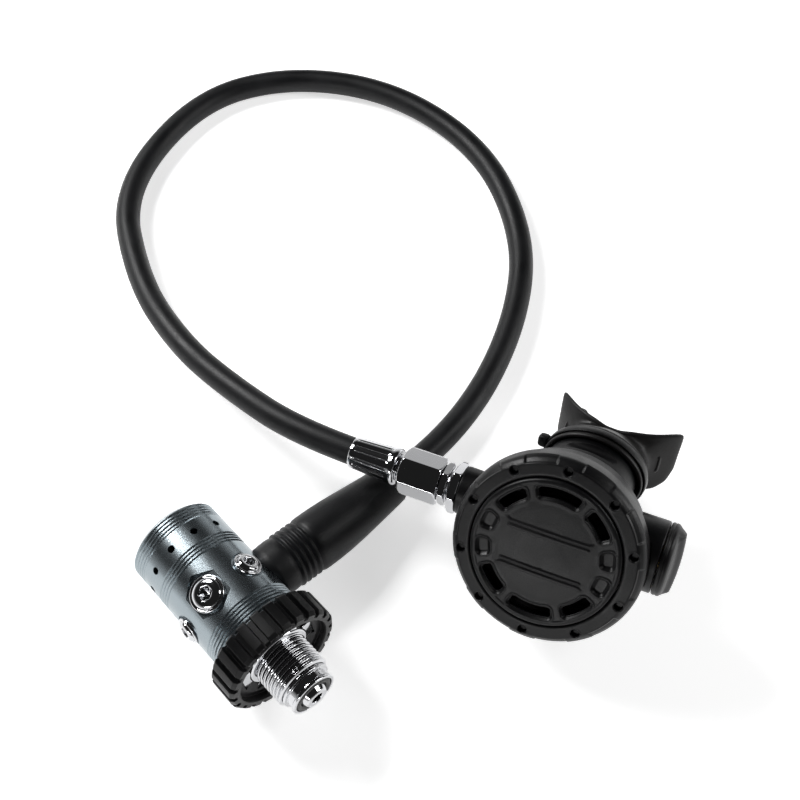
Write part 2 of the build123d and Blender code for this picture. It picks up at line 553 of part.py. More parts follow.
with BuildPart() as poppet:
    add(valve_turned(
        (0, -13.4), (3.2, -13.4), (3.2, -15.0), (4.6, -15.0), (4.6, -6.0), (2.6, -5.0), (2.6, 9.8),
        (4.6, 9.8), (4.6, 11.2), (2.2, 11.2), (2.2, 21.0), (0, 21.0)))
save(poppet, "poppet")

with BuildPart() as poppet_spring:
    add(coil_spring(VALVE, 3.6, 0.9, 17.8, 26.2, 5))
save(poppet_spring, "poppet_spring")

with BuildPart() as lever_nut:
    add(hex_nut(8.4, 15.0, 17.2, 0.3))
    add(valve_turned(*rod(2.2, 14, 18)), mode=Mode.SUBTRACT)
save(lever_nut, "lever_nut")

LEVER = Plane(origin=VALVE_AT + across * LEVER_X + out * LEVER_Z, x_dir=across, z_dir=up * -1)
LEVER_TOP = -8.2 - VALVE_Z - LEVER_Z        # height of the lever's pad above its pivot
FOOT_IN, FOOT_OUT = 2.7, 4.1
with BuildPart() as demand_lever:
    with BuildSketch(LEVER.offset(-2.6)):
        with BuildLine():
            Polyline((-0.8, 0.2), (0.8, 0.2), (0.8, 1.6), (-8.0, LEVER_TOP - 2.5), (-17.0, LEVER_TOP - 0.9),
                     (0.2 - LEVER_ARM, LEVER_TOP), (-LEVER_ARM - 4.5, LEVER_TOP),
                     (-LEVER_ARM - 4.5, LEVER_TOP - 1.0), (-LEVER_ARM, LEVER_TOP - 1.0),
                     (-17.2, LEVER_TOP - 1.9), (-8.4, LEVER_TOP - 3.5), (-0.8, 1.0), close=True)
        make_face()
    extrude(amount=5.2)
    with BuildSketch(LEVER.offset(-FOOT_OUT)):
        Circle(1.0)
    extrude(amount=2 * FOOT_OUT)
    for low in (-FOOT_OUT, FOOT_IN):
        with BuildSketch(LEVER.offset(low)):
            with Locations((0, -2.75)):
                Rectangle(1.2, 5.5)
        extrude(amount=FOOT_OUT - FOOT_IN)
save(demand_lever, "demand_lever")

SCREW_END = 42.0
with BuildPart() as adjustment_screw:
    add(valve_turned(
        (0, 26.8), (BARREL_BORE_R - RUNNING, 26.8), (BARREL_BORE_R - RUNNING, 32.0),
        (4.5, 32.0), (4.5, 35.0), (3.6, 35.0), (3.6, 37.0), (4.5, 37.0),
        (4.5, KNOB_COLLAR_END + 0.3), (3.2, KNOB_COLLAR_END + 0.3), (3.2, SCREW_END), (0, SCREW_END)))
save(adjustment_screw, "adjustment_screw")

with BuildPart() as screw_oring:
    add(valve_turned(*sleeve(4.54, 3.6, 35.1, 36.9)))
save(screw_oring, "screw_oring")

KNOB_FACE, GRIP_TOP = 43.0, 46.6
with BuildPart() as adjustment_knob:
    add(valve_turned(
        (3.2, KNOB_COLLAR_END + 0.35), (KNOB_R - 0.6, KNOB_COLLAR_END + 0.35),
        (KNOB_R, KNOB_COLLAR_END + 0.9), (KNOB_R, KNOB_FACE - 1.0), (KNOB_R - 1.0, KNOB_FACE),
        (KNOB_R - 4.0, KNOB_FACE + 1.1), (0, KNOB_FACE + 1.6), (0, SCREW_END), (3.2, SCREW_END)))
    with BuildSketch(Plane(origin=VALVE_AT + across * (KNOB_FACE - 1), x_dir=up, z_dir=across)):
        with BuildLine():
            Polyline((-KNOB_R + 1.6, -1.6), (-4, -2.2), (9.5, -4.6), (KNOB_R - 1.4, -2.4),
                     (KNOB_R - 1.4, 2.4), (9.5, 4.6), (-4, 2.2), (-KNOB_R + 1.6, 1.6), close=True)
        make_face()
    extrude(amount=GRIP_TOP - KNOB_FACE + 1, taper=14)
    add(valve_turned((0, 39), (KNOB_R + 1, 39), (KNOB_R + 1, KNOB_FACE - 0.6), (KNOB_R - 3, GRIP_TOP + 0.5),
                     (0, GRIP_TOP + 0.5)), mode=Mode.INTERSECT)
    add(valve_turned(*rod(3.2, 39, SCREW_END)), mode=Mode.SUBTRACT)
save(adjustment_knob, "adjustment_knob")

# ---------------------------------------------------------------- front: diaphragm, purge, cover ring
with BuildPart() as diaphragm:
    add(case_turned(
        (12.3, -8.0), (20.0, -8.0), (23.5, -10.4), (26.0, -8.0), (28.6, -8.0), (28.6, -8.9),
        (MEMBRANE_R, -8.9), (MEMBRANE_R, -7.0), (26.4, -7.0), (23.5, -9.3), (20.4, -7.0), (12.3, -7.0)))
save(diaphragm, "diaphragm")

with BuildPart() as diaphragm_plate:
    add(case_turned((0, -7.9), (11.6, -7.9), (12.2, -7.5), (11.6, -7.0), (0, -7.0)))
save(diaphragm_plate, "diaphragm_plate")

with BuildPart() as diaphragm_cover:
    with BuildSketch(SECOND.offset(-5.6)):
        Circle(MEMBRANE_R)
        Circle(26.5, mode=Mode.SUBTRACT)
        Circle(9.4)
        with PolarLocations(18, 6):
            Rectangle(18, 3.0)
        Circle(4.6, mode=Mode.SUBTRACT)
    extrude(amount=1.0)
    with BuildSketch(SECOND.offset(-6.9)):
        Circle(MEMBRANE_R)
        Circle(28.8, mode=Mode.SUBTRACT)
    extrude(amount=1.3)
save(diaphragm_cover, "diaphragm_cover")

with BuildPart() as purge_spring:
    add(coil_spring(SECOND, 6.4, 0.8, -4.1, -1.7, 2))
save(purge_spring, "purge_spring")

with BuildPart() as purge_cover:
    add(case_turned(
        (0, -1.2), (PURGE_R - 0.8, -1.2), (PURGE_R, -0.6), (PURGE_R, 0.5), (PURGE_R - 0.7, 1.1),
        (PURGE_R - 1.9, 1.1), (PURGE_R - 2.5, 0.5), (PURGE_R - 8.4, 0.5), (PURGE_R - 9.2, 1.2),
        (10, 1.7), (0, 1.9)))
    add(case_turned(*rod(4.0, -6.1, -1.0)))
    add(case_turned(*rod(5.1, -6.8, -6.0)))
    with BuildSketch(SECOND.offset(-3)):
        for middle, spread in ((90, LONG_SLOT), (270, LONG_SLOT), (45, SIDE_SLOT), (135, SIDE_SLOT),
                               (225, SIDE_SLOT), (315, SIDE_SLOT)):
            with BuildLine(mode=Mode.PRIVATE):
                slot_line = CenterArc((0, 0), SLOT_CIRCLE_R, middle - spread / 2, spread)
            SlotArc(slot_line, SLOT_WIDTH)
    extrude(amount=6, mode=Mode.SUBTRACT)
    with BuildSketch(SECOND.offset(-0.3)):
        for middle in (13, 167, 193, 347):
            with BuildLine(mode=Mode.PRIVATE):
                slot_line = CenterArc((0, 0), SLOT_CIRCLE_R, middle - SHORT_SLOT / 2, SHORT_SLOT)
            SlotArc(slot_line, SLOT_WIDTH)
    extrude(amount=3, mode=Mode.SUBTRACT)
    for side in (1, -1):
        with BuildSketch(SECOND.offset(1.0)):
            with Locations((0, side * 7.6 + 0.9), (0, side * 7.6 - 0.9)):
                SlotOverall(31, 0.8)
        extrude(amount=1.2)
save(purge_cover, "purge_cover")

with BuildPart() as cover_ring:
    add(case_turned(
        (RING_OPENING_R, -4.4), (RING_OPENING_R, -0.4), (RING_OPENING_R + 0.5, 0.1),
        (RING_OPENING_R + 1.0, 0.3), (DIMPLE_CIRCLE_R + 0.2, 0.0), (RING_R - 0.7, -2.4), (RING_R, -3.4),
        (RING_R, RING_BACK + 0.8), (RING_R - 0.8, RING_BACK), (CASE_R + 0.1, RING_BACK),
        (CASE_R + 0.1, -4.6), (MEMBRANE_R, -4.6), (MEMBRANE_R, -4.4)))
    with BuildSketch(SECOND.offset(-1.6)):
        with PolarLocations(DIMPLE_CIRCLE_R - 0.9, DIMPLES, start_angle=17):
            Circle(DIMPLE_R)
    extrude(amount=3, mode=Mode.SUBTRACT)
    with BuildSketch(SECOND.offset(-1.7)):
        for step in range(DIMPLES):
            middle = 17 + 360 / DIMPLES * (step + 0.5)
            with BuildLine(mode=Mode.PRIVATE):
                scallop_line = CenterArc((0, 0), RING_R - 0.7, middle - 8, 16)
            SlotArc(scallop_line, 3.2)
    extrude(amount=3, mode=Mode.SUBTRACT)
save(cover_ring, "cover_ring")

# ---------------------------------------------------------------- exhaust
with BuildPart() as exhaust_valve:
    with BuildSketch(SECOND.offset(CASE_BACK - 3.4)):
        with Locations((0, TEE_Y)):
            Circle(8.6)
    extrude(amount=1.0)
    with BuildSketch(SECOND.offset(CASE_BACK - 2.6)):
        with Locations((0, TEE_Y)):
            Circle(1.25)
    extrude(amount=6.5)
save(exhaust_valve, "exhaust_valve")

TEE = Plane(origin=SECOND.from_local_coords(Vector(-40, TEE_Y, TEE_Z - 2.4)), x_dir=up, z_dir=across)
with BuildPart() as exhaust_tee:
    with BuildSketch(TEE):
        Ellipse(TEE_R + 0.6, TEE_R)
    extrude(amount=80)
    add(case_turned(*rod(TEE_LIMIT_R, -60, -10)), mode=Mode.INTERSECT)
    with BuildSketch(TEE):
        Ellipse(TEE_R - 1.4, TEE_R - 2.0)
    extrude(amount=80, mode=Mode.SUBTRACT)
    add(case_turned(*rod(TEE_LIMIT_R + 1, CASE_BACK - 0.1, 0)), mode=Mode.SUBTRACT)
    with BuildSketch(SECOND.offset(CASE_BACK - 2.2)):
        with Locations((0, TEE_Y)):
            Circle(10.3)
    extrude(amount=4, mode=Mode.SUBTRACT)
save(exhaust_tee, "exhaust_tee")

# ---------------------------------------------------------------- mouthpiece
FLANGE_ARCH_R, FLANGE_AT, FLANGE_HALF = 35.0, 38.5, 26.0
TAB_AT, TAB_HEAD_AT, TAB_END = 42.8, 54.0, 57.0


def flange():
    """Lip flange: a band arched round the teeth, pointed at its upper corners and rounded below."""
    with BuildPart() as piece:
        with BuildSketch(Plane(origin=MOUTH.origin, x_dir=MOUTH.x_dir, z_dir=MOUTH.y_dir * -1)):
            with Locations((0, FLANGE_AT + FLANGE_ARCH_R)):
                Circle(FLANGE_ARCH_R + 1.3)
                Circle(FLANGE_ARCH_R - 1.3, mode=Mode.SUBTRACT)
            with Locations((0, FLANGE_AT + 5)):
                Rectangle(2 * FLANGE_HALF, 18, mode=Mode.INTERSECT)
        extrude(amount=16, both=True)
        with BuildSketch(MOUTH.offset(FLANGE_AT - 5)):
            with BuildLine():
                Polyline((-FLANGE_HALF, 13), (-8, 12), (-3, 10.8), (3, 10.8), (8, 12), (FLANGE_HALF, 13),
                         (FLANGE_HALF, -4), (24, -11), (17, -15), (-17, -15), (-24, -11),
                         (-FLANGE_HALF, -4), close=True)
            make_face()
        extrude(amount=25, mode=Mode.INTERSECT)
    return piece.part


with BuildPart() as mouthpiece:
    with BuildSketch(MOUTH.offset(19.5)):
        Ellipse(20.9, 15.9)
    extrude(amount=8.5)
    with BuildSketch(MOUTH.offset(28)):
        Ellipse(20.0, 15.0)
    with BuildSketch(MOUTH.offset(39.5)):
        Ellipse(16.0, 10.6)
    loft()
    add(flange())
    with BuildSketch(MOUTH.offset(TAB_AT)):
        with Locations((-19, -1), (19, -1)):
            RectangleRounded(4.0, 9, 1.8)
    extrude(amount=TAB_END - 1 - TAB_AT)
    with BuildSketch(MOUTH.offset(TAB_HEAD_AT)):
        with Locations((-18.5, -1), (18.5, -1)):
            RectangleRounded(7.5, 10, 2.2)
    extrude(amount=TAB_END - TAB_HEAD_AT)
    with BuildSketch(MOUTH.offset(19)):
        Ellipse(18.65, 13.65)
    extrude(amount=7.1, mode=Mode.SUBTRACT)
    with BuildSketch(MOUTH.offset(26)):
        Ellipse(15.0, 9.8)
    with BuildSketch(MOUTH.offset(44)):
        Ellipse(11.5, 6.6)
    loft(mode=Mode.SUBTRACT)
save(mouthpiece, "mouthpiece")

with BuildPart() as mouthpiece_tie:
    with BuildSketch(MOUTH.offset(22)):
        Ellipse(22.1, 17.1)
        Ellipse(20.95, 15.95, mode=Mode.SUBTRACT)
    extrude(amount=3.6)
    with BuildSketch(Plane(origin=MOUTH.from_local_coords(Vector(14.6, 12.6, 21.4)),
                           x_dir=MOUTH.x_dir.rotate(Axis(MOUTH.origin, MOUTH.z_dir), 49),
                           z_dir=MOUTH.z_dir)):
        RectangleRounded(3.6, 5.2, 0.8)
    extrude(amount=4.8)
    with BuildSketch(MOUTH.offset(20)):
        Ellipse(20.95, 15.95)
    extrude(amount=8, mode=Mode.SUBTRACT)
save(mouthpiece_tie, "mouthpiece_tie")
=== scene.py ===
import bpy
import bmesh
import json
from math import cos, pi, radians, sin, sqrt, tau
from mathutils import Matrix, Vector


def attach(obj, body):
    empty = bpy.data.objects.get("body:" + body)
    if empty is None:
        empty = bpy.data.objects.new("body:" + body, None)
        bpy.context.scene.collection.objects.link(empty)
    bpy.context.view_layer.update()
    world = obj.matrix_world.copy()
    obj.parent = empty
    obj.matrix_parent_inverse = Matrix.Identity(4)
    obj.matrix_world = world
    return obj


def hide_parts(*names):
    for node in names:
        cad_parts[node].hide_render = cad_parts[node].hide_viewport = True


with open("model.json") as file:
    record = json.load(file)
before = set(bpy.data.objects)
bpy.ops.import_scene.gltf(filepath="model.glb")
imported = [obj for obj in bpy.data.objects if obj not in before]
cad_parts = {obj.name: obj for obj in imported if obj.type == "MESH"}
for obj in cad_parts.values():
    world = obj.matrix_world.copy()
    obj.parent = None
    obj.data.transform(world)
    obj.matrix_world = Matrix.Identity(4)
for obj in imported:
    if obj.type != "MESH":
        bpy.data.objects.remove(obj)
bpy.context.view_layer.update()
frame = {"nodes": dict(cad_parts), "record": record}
NODES = frame["nodes"]

# ------------------------------------------------------------ the object's own axes, in metres
FIRST_AT = Vector((-0.0573, -0.0382, 0.0242))
heading, tilt = radians(-47.5), radians(5.0)
FIRST_Z = Vector((cos(heading) * cos(tilt), sin(heading) * cos(tilt), sin(tilt)))
FIRST_X = Vector((0, 0, 1)).cross(FIRST_Z).normalized()
FIRST_Y = FIRST_Z.cross(FIRST_X)

SECOND_AT = Vector((0.0478, -0.0148, 0.0515))
OUT = Vector((-0.3571, -0.6402, 0.6802)).normalized()
ACROSS = Vector((0.9110, -0.3994, 0.1024))
ACROSS = (ACROSS - OUT * ACROSS.dot(OUT)).normalized()
UP = OUT.cross(ACROSS)
VALVE_AT = SECOND_AT + UP * 0.0041 - OUT * 0.0225

rise, swing = radians(15.0), radians(6.0)
BACK = UP * sin(rise) - OUT * cos(rise)
MOUTH_AT = SECOND_AT + ACROSS * 0.0013 + UP * 0.0165 - OUT * 0.022
MOUTH_Z = BACK * cos(swing) + ACROSS * sin(swing)
MOUTH_X = BACK * sin(swing) - ACROSS * cos(swing)
MOUTH_Y = MOUTH_Z.cross(MOUTH_X)

port_turn = radians(-9.0)
PORT_Z = FIRST_X * cos(port_turn) + FIRST_Y * sin(port_turn)
PORT_AT = FIRST_AT - FIRST_Z * 0.0206
PORT_X = FIRST_Z
PORT_Y = PORT_Z.cross(PORT_X)


class Place:
    """A local frame given in millimetres."""

    def __init__(self, origin, x, y, z):
        self.origin, self.x, self.y, self.z = origin, x, y, z

    def at(self, x, y, z):
        return self.origin + (self.x * x + self.y * y + self.z * z) * 0.001


FIRST = Place(FIRST_AT, FIRST_X, FIRST_Y, FIRST_Z)
SECOND = Place(SECOND_AT, ACROSS, UP, OUT)
VALVE = Place(VALVE_AT, OUT, ACROSS.cross(OUT), ACROSS)
MOUTH = Place(MOUTH_AT, MOUTH_X, MOUTH_Y, MOUTH_Z)
PORT = Place(PORT_AT, PORT_X, PORT_Y, PORT_Z)


# ------------------------------------------------------------ camera and light
camera = bpy.data.objects.new("camera", bpy.data.cameras.new("camera"))
bpy.context.scene.collection.objects.link(camera)
camera.location = (-0.0054, -0.1685, 0.4299)
camera.rotation_euler = (radians(30), 0, 0)
camera.data.sensor_width = 36
camera.data.lens = 49.5
camera.data.clip_start, camera.data.clip_end = 0.01, 20
bpy.context.scene.camera = camera
bpy.context.scene.view_settings.view_transform = "Standard"


def new_object(name, data):
    piece = bpy.data.objects.new(name, data)
    bpy.context.scene.collection.objects.link(piece)
    return piece


def area_light(name, place, target, size, power, colour=(1, 1, 1)):
    lamp = bpy.data.lights.new(name, "AREA")
    lamp.shape, lamp.size, lamp.size_y = "RECTANGLE", size[0], size[1]
    lamp.energy, lamp.color = power, colour
    piece = new_object(name, lamp)
    piece.location = place
    piece.rotation_euler = (Vector(target) - Vector(place)).to_track_quat("-Z", "Y").to_euler()


area_light("key", (-0.60, 0.50, 0.66), (0, 0.02, 0), (0.42, 0.30), 9)
area_light("side", (0.80, 0.10, 0.50), (0, 0, 0), (0.25, 0.70), 4)
area_light("front", (-0.45, -0.80, 0.35), (0, 0, 0), (0.50, 0.10), 2)

world = bpy.data.worlds.new("studio")
world.use_nodes = True
bpy.context.scene.world = world
sky = world.node_tree
direction = sky.nodes.new("ShaderNodeTexCoord")
split = sky.nodes.new("ShaderNodeSeparateXYZ")
fade = sky.nodes.new("ShaderNodeMapRange")
fade.inputs["From Min"].default_value, fade.inputs["From Max"].default_value = 0.02, 0.38
fade.inputs["To Min"].default_value, fade.inputs["To Max"].default_value = 0.80, 0.02
sky.links.new(direction.outputs["Generated"], split.inputs["Vector"])
sky.links.new(split.outputs["Z"], fade.inputs["Value"])
sky.links.new(fade.outputs["Result"], sky.nodes["Background"].inputs["Color"])
sky.nodes["Background"].inputs["Strength"].default_value = 0.9


# ------------------------------------------------------------ materials
class Surface:
    """A Principled material with object-space grain, built node by node."""

    def __init__(self, name, colour, metallic=0.0, rough=0.5, **sockets):
        self.material = bpy.data.materials.new(name)
        self.material.use_nodes = True
        self.tree = self.material.node_tree
        self.shader = self.tree.nodes["Principled BSDF"]
        self.shader.inputs["Base Color"].default_value = (*colour, 1)
        self.shader.inputs["Metallic"].default_value = metallic
        self.shader.inputs["Roughness"].default_value = rough
        for socket, value in sockets.items():
            self.shader.inputs[socket.replace("_", " ")].default_value = value
        self.place = self.node("ShaderNodeTexCoord").outputs["Object"]
        self.height = None

    def node(self, kind, **settings):
        made = self.tree.nodes.new(kind)
        for key, value in settings.items():
            setattr(made, key, value)
        return made

    def link(self, a, b):
        self.tree.links.new(a, b)

    def noise(self, scale, detail=3.0, rough=0.55):
        made = self.node("ShaderNodeTexNoise")
        made.inputs["Scale"].default_value = scale
        made.inputs["Detail"].default_value = detail
        made.inputs["Roughness"].default_value = rough
        self.link(self.place, made.inputs["Vector"])
        return made.outputs["Fac"]

    def spots(self, scale):
        made = self.node("ShaderNodeTexVoronoi")
        made.inputs["Scale"].default_value = scale
        self.link(self.place, made.inputs["Vector"])
        return made.outputs["Distance"]

    def spread(self, source, low, high, start=0.3, end=0.7):
        made = self.node("ShaderNodeMapRange")
        for key, value in (("From Min", start), ("From Max", end), ("To Min", low), ("To Max", high)):
            made.inputs[key].default_value = value
        self.link(source, made.inputs["Value"])
        return made.outputs["Result"]

    def edges(self, radius):
        """1 on rounded edges, 0 on open faces."""
        bevel = self.node("ShaderNodeBevel", samples=6)
        bevel.inputs["Radius"].default_value = radius
        dot = self.node("ShaderNodeVectorMath", operation="DOT_PRODUCT")
        self.link(bevel.outputs["Normal"], dot.inputs[0])
        self.link(self.node("ShaderNodeNewGeometry").outputs["Normal"], dot.inputs[1])
        self.rounded = bevel.outputs["Normal"]
        return self.spread(dot.outputs["Value"], 1.0, 0.0, 0.86, 0.995)

    def mix(self, factor, a, b):
        """Mixes two colours; each is a socket or a colour."""
        made = self.node("ShaderNodeMix", data_type="RGBA")
        self.link(factor, made.inputs["Factor"])
        for index, value in ((6, a), (7, b)):
            if isinstance(value, bpy.types.NodeSocket):
                self.link(value, made.inputs[index])
            else:
                made.inputs[index].default_value = (*value, 1)
        return made.outputs[2]

    def math(self, operation, a, b):
        made = self.node("ShaderNodeMath", operation=operation)
        for index, value in ((0, a), (1, b)):
            if isinstance(value, bpy.types.NodeSocket):
                self.link(value, made.inputs[index])
            else:
                made.inputs[index].default_value = value
        return made.outputs[0]

    def bump(self, source, strength, distance, round_edges=None):
        made = self.node("ShaderNodeBump")
        made.inputs["Strength"].default_value = strength
        made.inputs["Distance"].default_value = distance
        self.link(source, made.inputs["Height"])
        if self.height is not None:
            self.link(self.height, made.inputs["Normal"])
        elif round_edges is not None:
            self.link(round_edges, made.inputs["Normal"])
        self.height = made.outputs["Normal"]
        self.link(self.height, self.shader.inputs["Normal"])

    def set(self, socket, source):
        self.link(source, self.shader.inputs[socket])


def metal(name, colour, low, high, round_edge=0.00012, grain=0.00001, scale=5200, worn=0.03, **sockets):
    s = Surface(name, colour, metallic=1.0, **sockets)
    edge = s.edges(round_edge)
    broad = s.noise(45, 3)
    fine = s.noise(scale, 2)
    rough = s.spread(s.math("ADD", s.math("MULTIPLY", broad, 0.35), s.math("MULTIPLY", fine, 0.65)),
                     low, high, 0.3, 0.7)
    s.set("Roughness", s.math("SUBTRACT", rough, s.math("MULTIPLY", edge, worn)))
    dark = tuple(c * 0.93 for c in colour)
    bright = tuple(min(1.0, c * 1.25) for c in colour)
    s.set("Base Color", s.mix(edge, s.mix(s.spread(broad, 0, 1), dark, colour), bright))
    s.bump(fine, 0.6, grain)
    return s.material


def plastic(name, colour, low, high, scale=2200, grain=0.00004, worn=(0.06, 0.06, 0.062), wear=0.5,
            round_edge=0.0004, **sockets):
    s = Surface(name, colour, **sockets)
    edge = s.edges(round_edge)
    broad = s.noise(60, 5)
    fine = s.noise(scale, 2, 0.6)
    blotches = s.math("ADD", s.math("MULTIPLY", broad, 0.6), s.math("MULTIPLY", fine, 0.4))
    s.set("Roughness", s.spread(blotches, low, high, 0.35, 0.65))
    lifted = tuple(min(1, c * 1.6 + 0.0008) for c in colour)
    base = s.mix(s.spread(broad, 0, 1, 0.35, 0.7), colour, lifted)
    scuffs = s.spread(s.noise(420, 4), 0, wear, 0.45, 0.75)
    s.set("Base Color", s.mix(s.math("MULTIPLY", edge, scuffs), base, worn))
    s.bump(s.spots(scale), 0.5, grain, s.rounded)
    s.bump(fine, 0.5, grain)
    return s.material


LOOKS = {
    "satin_chrome": metal("satin_chrome", (0.31, 0.355, 0.38), 0.22, 0.30, grain=0.000016, scale=3600),
    "bright_chrome": metal("bright_chrome", (0.60, 0.605, 0.62), 0.05, 0.10, grain=0.000001, worn=0.0),
    "brass": metal("brass", (0.62, 0.45, 0.20), 0.22, 0.36),
    "stainless_steel": metal("stainless_steel", (0.58, 0.58, 0.57), 0.20, 0.34),
    "sintered_bronze": metal("sintered_bronze", (0.44, 0.31, 0.17), 0.45, 0.70, grain=0.00006),
    "black_plastic": plastic("black_plastic", (0.0022, 0.0022, 0.0025), 0.30, 0.46,
                             worn=(0.02, 0.02, 0.021), Specular_IOR_Level=0.24),
    "white_plastic": plastic("white_plastic", (0.62, 0.61, 0.58), 0.35, 0.5, worn=(0.7, 0.7, 0.7)),
    "hose_rubber": plastic("hose_rubber", (0.0026, 0.0028, 0.0034), 0.38, 0.56, scale=1500, grain=0.00005,
                           worn=(0.015, 0.015, 0.015), Specular_IOR_Level=0.28),
    "mouthpiece_rubber": plastic("mouthpiece_rubber", (0.0042, 0.0038, 0.0038), 0.34, 0.5, scale=1300,
                                 grain=0.00003, worn=(0.03, 0.027, 0.025), Specular_IOR_Level=0.3),
    "seal_rubber": plastic("seal_rubber", (0.008, 0.008, 0.008), 0.35, 0.5, scale=3000),
}

slot_of = {part["node"]: part["material_slot"] for part in frame["record"]["subparts"]}


def dress(piece, look):
    piece.data.materials.clear()
    piece.data.materials.append(LOOKS[look])
    return piece


for part_name, node in NODES.items():
    dress(node, slot_of[part_name])

# ------------------------------------------------------------ floor
floor_mesh = bpy.data.meshes.new("floor")
floor_mesh.from_pydata([(-9, -9, 0), (9, -9, 0), (9, 9, 0), (-9, 9, 0)], [], [(0, 1, 2, 3)])
floor = new_object("floor", floor_mesh)
paper = Surface("paper", (0.9, 0.9, 0.9), rough=0.9, Emission_Color=(1, 1, 1, 1), Emission_Strength=0.6)
paper.bump(paper.noise(300, 4), 0.1, 0.0001)
floor_mesh.materials.append(paper.material)

# ------------------------------------------------------------ hose
HOSE_R = 0.0058
HOSE_START, HOSE_END = 32, -77            # mm along the port and along the valve axis
ROUTE = [PORT.at(0, 0, HOSE_START), PORT.at(0, 0, 82),
         *[Vector(p) * 0.001 for p in (
             (25.3, 68.8, 5.8), (48.3, 117.8, 5.8), (55.3, 167.8, 5.8), (37.3, 224.8, 5.8),
             (-8.7, 265.8, 5.8), (-64.7, 276.8, 5.8), (-112.7, 258.8, 5.8), (-144.7, 196.8, 6.6),
             (-127.7, 136.8, 11.5), (-103.7, 98.8, 17), (-78.7, 73.8, 21.5))],
         VALVE.at(0, 0, -113), VALVE.at(0, 0, HOSE_END)]


def route_curve(name, radius):
    line = bpy.data.curves.new(name, "CURVE")
    line.dimensions = "3D"
    spline = line.splines.new("NURBS")
    spline.points.add(len(ROUTE) - 1)
    for point, place in zip(spline.points, ROUTE):
        point.co = (*place, 1)
    spline.order_u = 3
    spline.use_endpoint_u = True
    line.resolution_u = 24
    line.bevel_depth, line.bevel_resolution, line.use_fill_caps = radius, 10, radius > 0
    return new_object(name, line)


hose = route_curve("rubber_hose", HOSE_R)
hose.data.materials.append(LOOKS["hose_rubber"])
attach(hose, "first_stage")
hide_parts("hose")

bare = route_curve("route", 0)
centre = [v.co.copy() for v in bpy.data.meshes.new_from_object(bare).vertices]
bpy.data.objects.remove(bare)


# ------------------------------------------------------------ mesh tools
def finish_piece(name, points, faces, look, body, nodes=(), smooth=0):
    mesh = bpy.data.meshes.new(name)
    mesh.from_pydata(points, [], faces)
    work = bmesh.new()
    work.from_mesh(mesh)
    bmesh.ops.remove_doubles(work, verts=work.verts, dist=1e-6)
    bmesh.ops.dissolve_degenerate(work, edges=work.edges, dist=1e-7)
    bmesh.ops.recalc_face_normals(work, faces=work.faces)
    work.to_mesh(mesh)
    work.free()
    mesh.shade_smooth()
    piece = new_object(name, mesh)
    if smooth:
        piece.modifiers.new("subdivision", "SUBSURF").levels = smooth
        piece.modifiers["subdivision"].render_levels = smooth
    piece.modifiers.new("normals", "WEIGHTED_NORMAL").keep_sharp = True
    mesh.materials.append(LOOKS[look])
    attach(piece, body)
    if nodes:
        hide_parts(*nodes)
    return piece


def add_shell(points, faces, loops):
    """Closed shell from rings of equal point count, the last joined back to the first."""
    start, count, n = len(points), len(loops), len(loops[0])
    for loop in loops:
        points += [tuple(p) for p in loop]
    for i in range(count):
        for j in range(n):
            a, b = start + i * n, start + (i + 1) % count * n
            faces.append((a + j, a + (j + 1) % n, b + (j + 1) % n, b + j))


def skin(name, shells, look, body, nodes=(), smooth=0):
    """One piece from closed shells."""
    points, faces = [], []
    for loops in shells:
        add_shell(points, faces, loops)
    return finish_piece(name, points, faces, look, body, nodes, smooth)


def eased(profile, size=0.15):
    """Closed outline of (height, radius) with each corner cut into three points."""
    out = []
    for i, (s0, r0) in enumerate(profile):
        ends = []
        for s1, r1 in (profile[i - 1], profile[(i + 1) % len(profile)]):
            length = max(1e-6, sqrt((s1 - s0) ** 2 + (r1 - r0) ** 2))
            cut = min(size, length * 0.4) / length
            ends.append((s0 + (s1 - s0) * cut, r0 + (r1 - r0) * cut))
        (sa, ra), (sb, rb) = ends
        out += [ends[0], ((sa + 2 * s0 + sb) / 4, (ra + 2 * r0 + rb) / 4), ends[1]]
    return out


def rings(place, profile, count=96, turn=0.0):
    """Rings about a place's z axis; a radius may be a number or a function of the angle."""
    made = []
    for s, r in profile:
        ring = []
        for j in range(count):
            angle = tau * j / count
            radius = r(angle) if callable(r) else r
            ring.append(place.at(radius * cos(angle + turn), radius * sin(angle + turn), s))
        made.append(ring)
    return made


def hexagon(across_flats, limit=99.0):
    def radius(angle):
        part = (angle % (pi / 3)) - pi / 6
        return min(across_flats / 2 / cos(part), limit)
    return radius


# ------------------------------------------------------------ hose protector and ferrule
def sleeve_at(height):
    """Place on the hose's own line at a distance along it, measured as height over the port."""
    left = (height - HOSE_START) * 0.001
    if left <= 0:
        return Place(PORT.at(0, 0, height), PORT.x, PORT.y, PORT.z)
    for i in range(len(centre) - 1):
        span = centre[i + 1] - centre[i]
        if left <= span.length:
            break
        left -= span.length
    z = span.normalized()
    y = z.cross(PORT.x).normalized()
    return Place(centre[i] + z * left, y.cross(z), y, z)


BODY_R = 19.42


def protector_rings(profile, count=96):
    made = []
    for height, radius in profile:
        here = sleeve_at(height)
        ring = []
        for j in range(count):
            x, y = radius * cos(tau * j / count), radius * sin(tau * j / count)
            seat = sqrt(BODY_R ** 2 - y ** 2)
            lift = max(0.0, seat - height) if height < 20 else 0.0
            ring.append(here.at(x, y, lift))
        made.append(ring)
    return made


